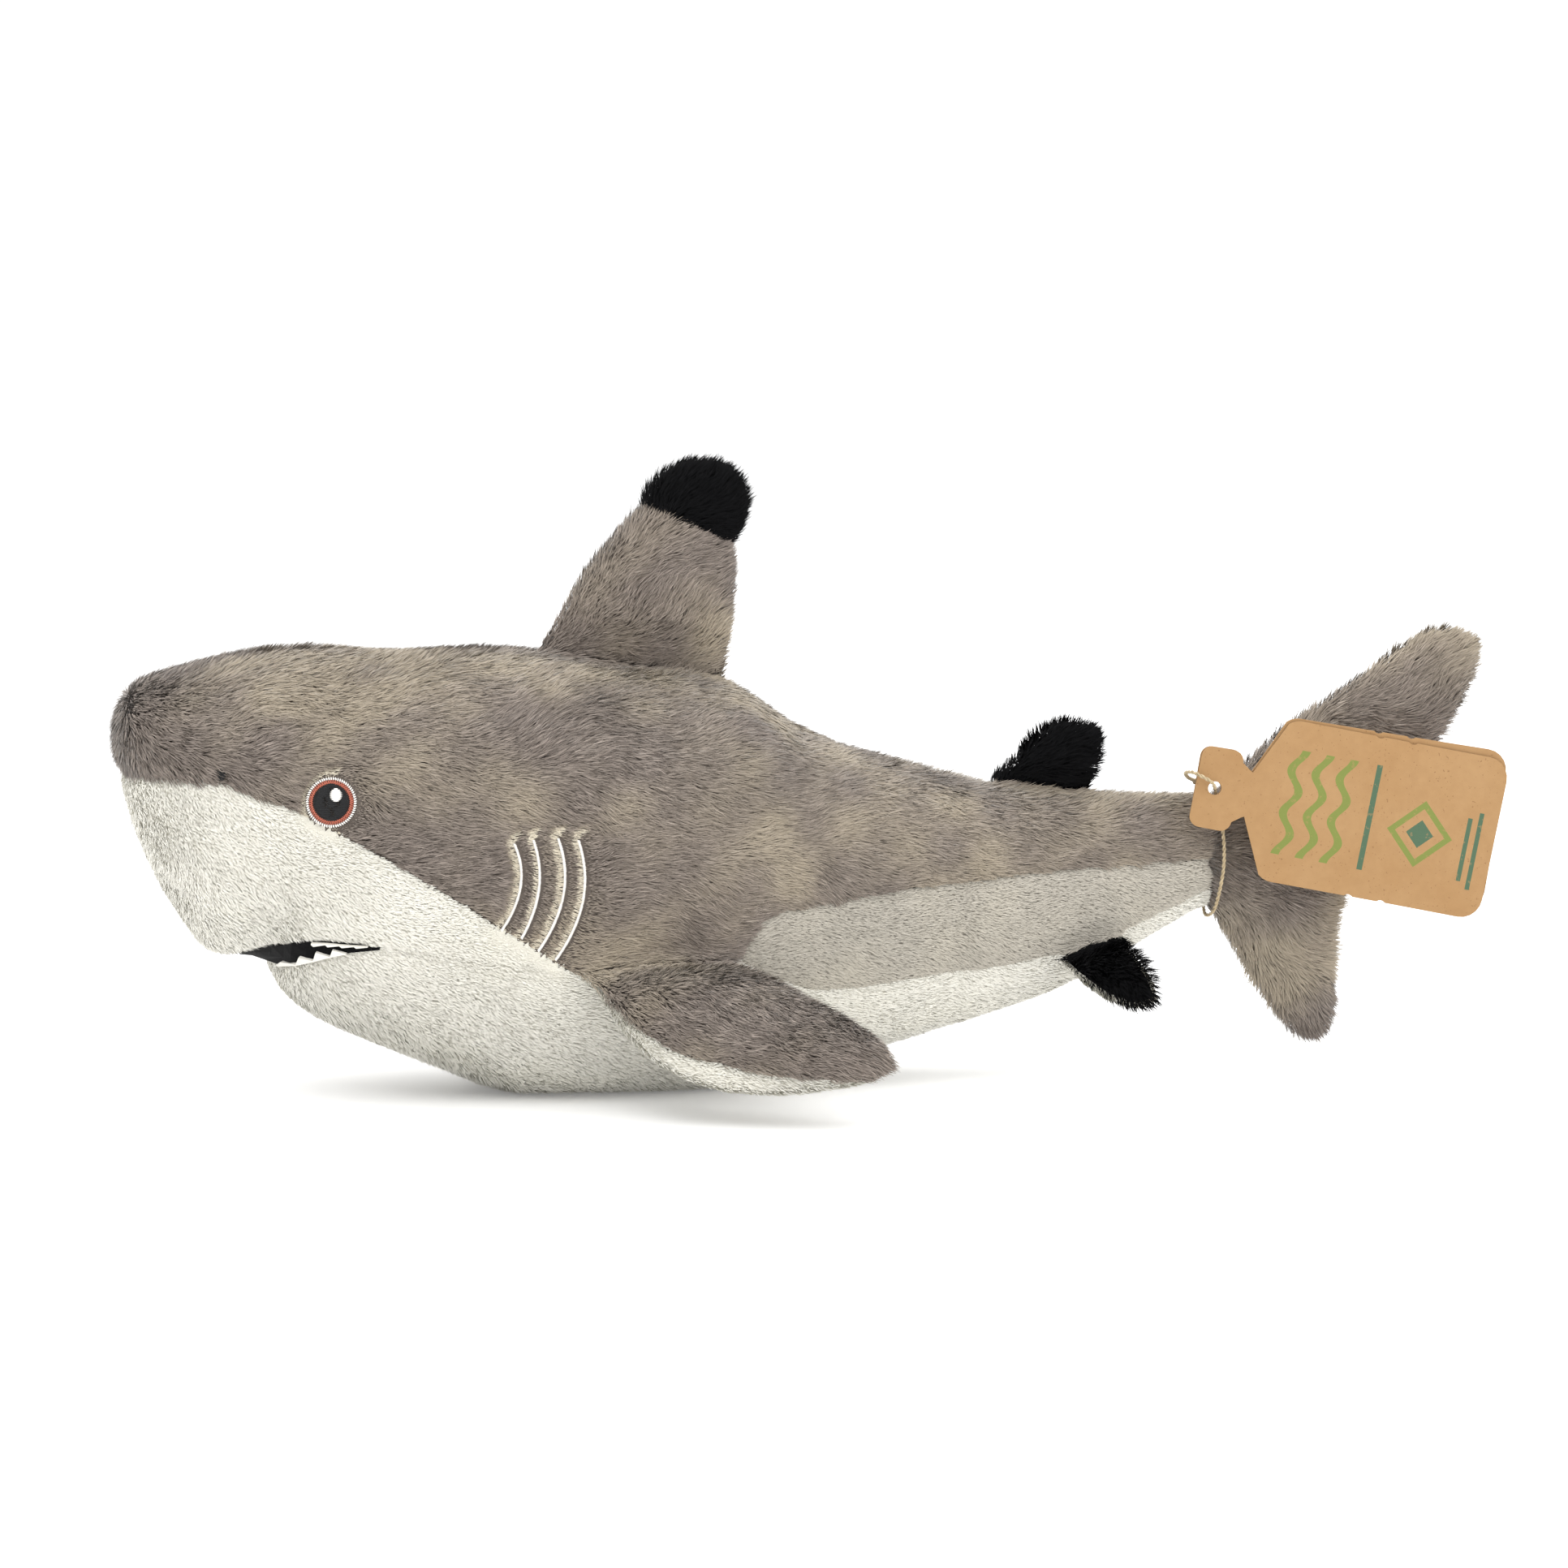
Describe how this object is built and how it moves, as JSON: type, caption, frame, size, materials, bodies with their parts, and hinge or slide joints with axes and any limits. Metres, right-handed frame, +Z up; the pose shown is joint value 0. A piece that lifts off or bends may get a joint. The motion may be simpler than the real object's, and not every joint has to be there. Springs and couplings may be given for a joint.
{
  "type": "plush shark",
  "caption": "Plush reef shark of sewn pile fabric with stuffed fins and a bending tail, and a card hang tag on a twine loop.",
  "frame": {"origin": "centre of the shark's outline at table height: midway from nose to tail tip, on the symmetry plane, at the belly's lowest face", "axes": "+X from the nose to the tail, -Y to the shark's left side, +Z up"},
  "size_m": [0.3885, 0.187, 0.1751],
  "materials": {
    "grey_pile": "matte",
    "ivory_pile": "matte",
    "pale_pile": "matte",
    "black_pile": "matte",
    "stuffing": "matte",
    "black_felt": "matte",
    "white_felt": "matte",
    "white_thread": "satin",
    "brown_thread": "satin",
    "black_thread": "satin",
    "kraft_card": "matte",
    "jute_twine": "matte"
  },
  "bodies": {
    "torso": {"back_panel_left": "grey_pile", "back_panel_right": "grey_pile", "face_panel_left": "ivory_pile", "face_panel_right": "ivory_pile", "belly_panel": "ivory_pile", "flank_panel_left": "pale_pile", "flank_panel_right": "pale_pile", "body_stuffing": "stuffing", "mouth_lining": "black_felt", "upper_teeth": "white_felt", "lower_teeth": "white_felt", "eye_outline_left": "white_thread", "eye_iris_left": "brown_thread", "eye_pupil_left": "black_thread", "eye_glint_left": "white_thread", "eye_outline_right": "white_thread", "eye_iris_right": "brown_thread", "eye_pupil_right": "black_thread", "eye_glint_right": "white_thread", "nostril_left": "black_thread", "nostril_right": "black_thread", "gill_stitches_left": "white_thread", "gill_stitches_right": "white_thread"},
    "dorsal_fin": {"dorsal_panel_left": "grey_pile", "dorsal_panel_right": "grey_pile", "dorsal_tip_left": "black_pile", "dorsal_tip_right": "black_pile", "dorsal_stuffing": "stuffing"},
    "pectoral_fin_left": {"pectoral_top_left": "grey_pile", "pectoral_underside_left": "ivory_pile", "pectoral_stuffing_left": "stuffing"},
    "pectoral_fin_right": {"pectoral_top_right": "grey_pile", "pectoral_underside_right": "ivory_pile", "pectoral_stuffing_right": "stuffing"},
    "tail_base": {"tail_back_panel_left": "grey_pile", "tail_back_panel_right": "grey_pile", "tail_flank_panel_left": "pale_pile", "tail_flank_panel_right": "pale_pile", "tail_belly_panel": "ivory_pile", "tail_stuffing": "stuffing"},
    "second_dorsal_fin": {"second_dorsal_left": "black_pile", "second_dorsal_right": "black_pile", "second_dorsal_stuffing": "stuffing"},
    "pelvic_fin_left": {"pelvic_top_left": "black_pile", "pelvic_underside_left": "ivory_pile", "pelvic_stuffing_left": "stuffing"},
    "pelvic_fin_right": {"pelvic_top_right": "black_pile", "pelvic_underside_right": "ivory_pile", "pelvic_stuffing_right": "stuffing"},
    "tail_fin": {"caudal_panel_left": "grey_pile", "caudal_panel_right": "grey_pile", "caudal_stuffing": "stuffing", "twine_loop": "jute_twine", "twine_knot": "jute_twine"},
    "hang_tag": {"tag_front_card": "kraft_card", "tag_back_card": "kraft_card"}
  },
  "joints": [
    {"name": "dorsal_flex", "type": "hinge", "parent": "torso", "child": "dorsal_fin", "pos_m": [-0.0502, 0, 0.1231], "axis": [0.9856, 0, -0.169], "range_deg": [-20, 20], "stiffness_Nm_per_rad": 0.03},
    {"name": "pectoral_flex_left", "type": "hinge", "parent": "torso", "child": "pectoral_fin_left", "pos_m": [-0.0511, -0.0522, 0.0371], "axis": [-0.9947, -0.097, -0.035], "range_deg": [-5, 25], "stiffness_Nm_per_rad": 0.03},
    {"name": "pectoral_flex_right", "type": "hinge", "parent": "torso", "child": "pectoral_fin_right", "pos_m": [-0.0511, 0.0522, 0.0371], "axis": [0.9947, -0.097, 0.035], "range_deg": [-5, 25], "stiffness_Nm_per_rad": 0.03},
    {"name": "tail_bend", "type": "hinge", "parent": "torso", "child": "tail_base", "pos_m": [0.04, 0, 0.058], "axis": [0, 0, 1], "range_deg": [-12, 12], "stiffness_Nm_per_rad": 0.12},
    {"name": "second_dorsal_flex", "type": "hinge", "parent": "tail_base", "child": "second_dorsal_fin", "pos_m": [0.0646, 0, 0.0857], "axis": [0.9938, 0, -0.1116], "range_deg": [-20, 20], "stiffness_Nm_per_rad": 0.004},
    {"name": "pelvic_flex_left", "type": "hinge", "parent": "tail_base", "child": "pelvic_fin_left", "pos_m": [0.0783, -0.0171, 0.0356], "axis": [-0.9339, -0.196, -0.299], "range_deg": [-12, 18], "stiffness_Nm_per_rad": 0.004},
    {"name": "pelvic_flex_right", "type": "hinge", "parent": "tail_base", "child": "pelvic_fin_right", "pos_m": [0.0783, 0.0171, 0.0356], "axis": [0.9339, -0.196, 0.299], "range_deg": [-12, 18], "stiffness_Nm_per_rad": 0.004},
    {"name": "tail_fin_flex", "type": "hinge", "parent": "tail_base", "child": "tail_fin", "pos_m": [0.1184, 0, 0.063], "axis": [0, 0, 1], "range_deg": [-15, 15], "stiffness_Nm_per_rad": 0.03},
    {"name": "tag_swing", "type": "hinge", "parent": "tail_fin", "child": "hang_tag", "pos_m": [0.112, -0.0185, 0.0824], "axis": [0.0698, 0.9976, 0], "range_deg": [-10, 40]}
  ]
}
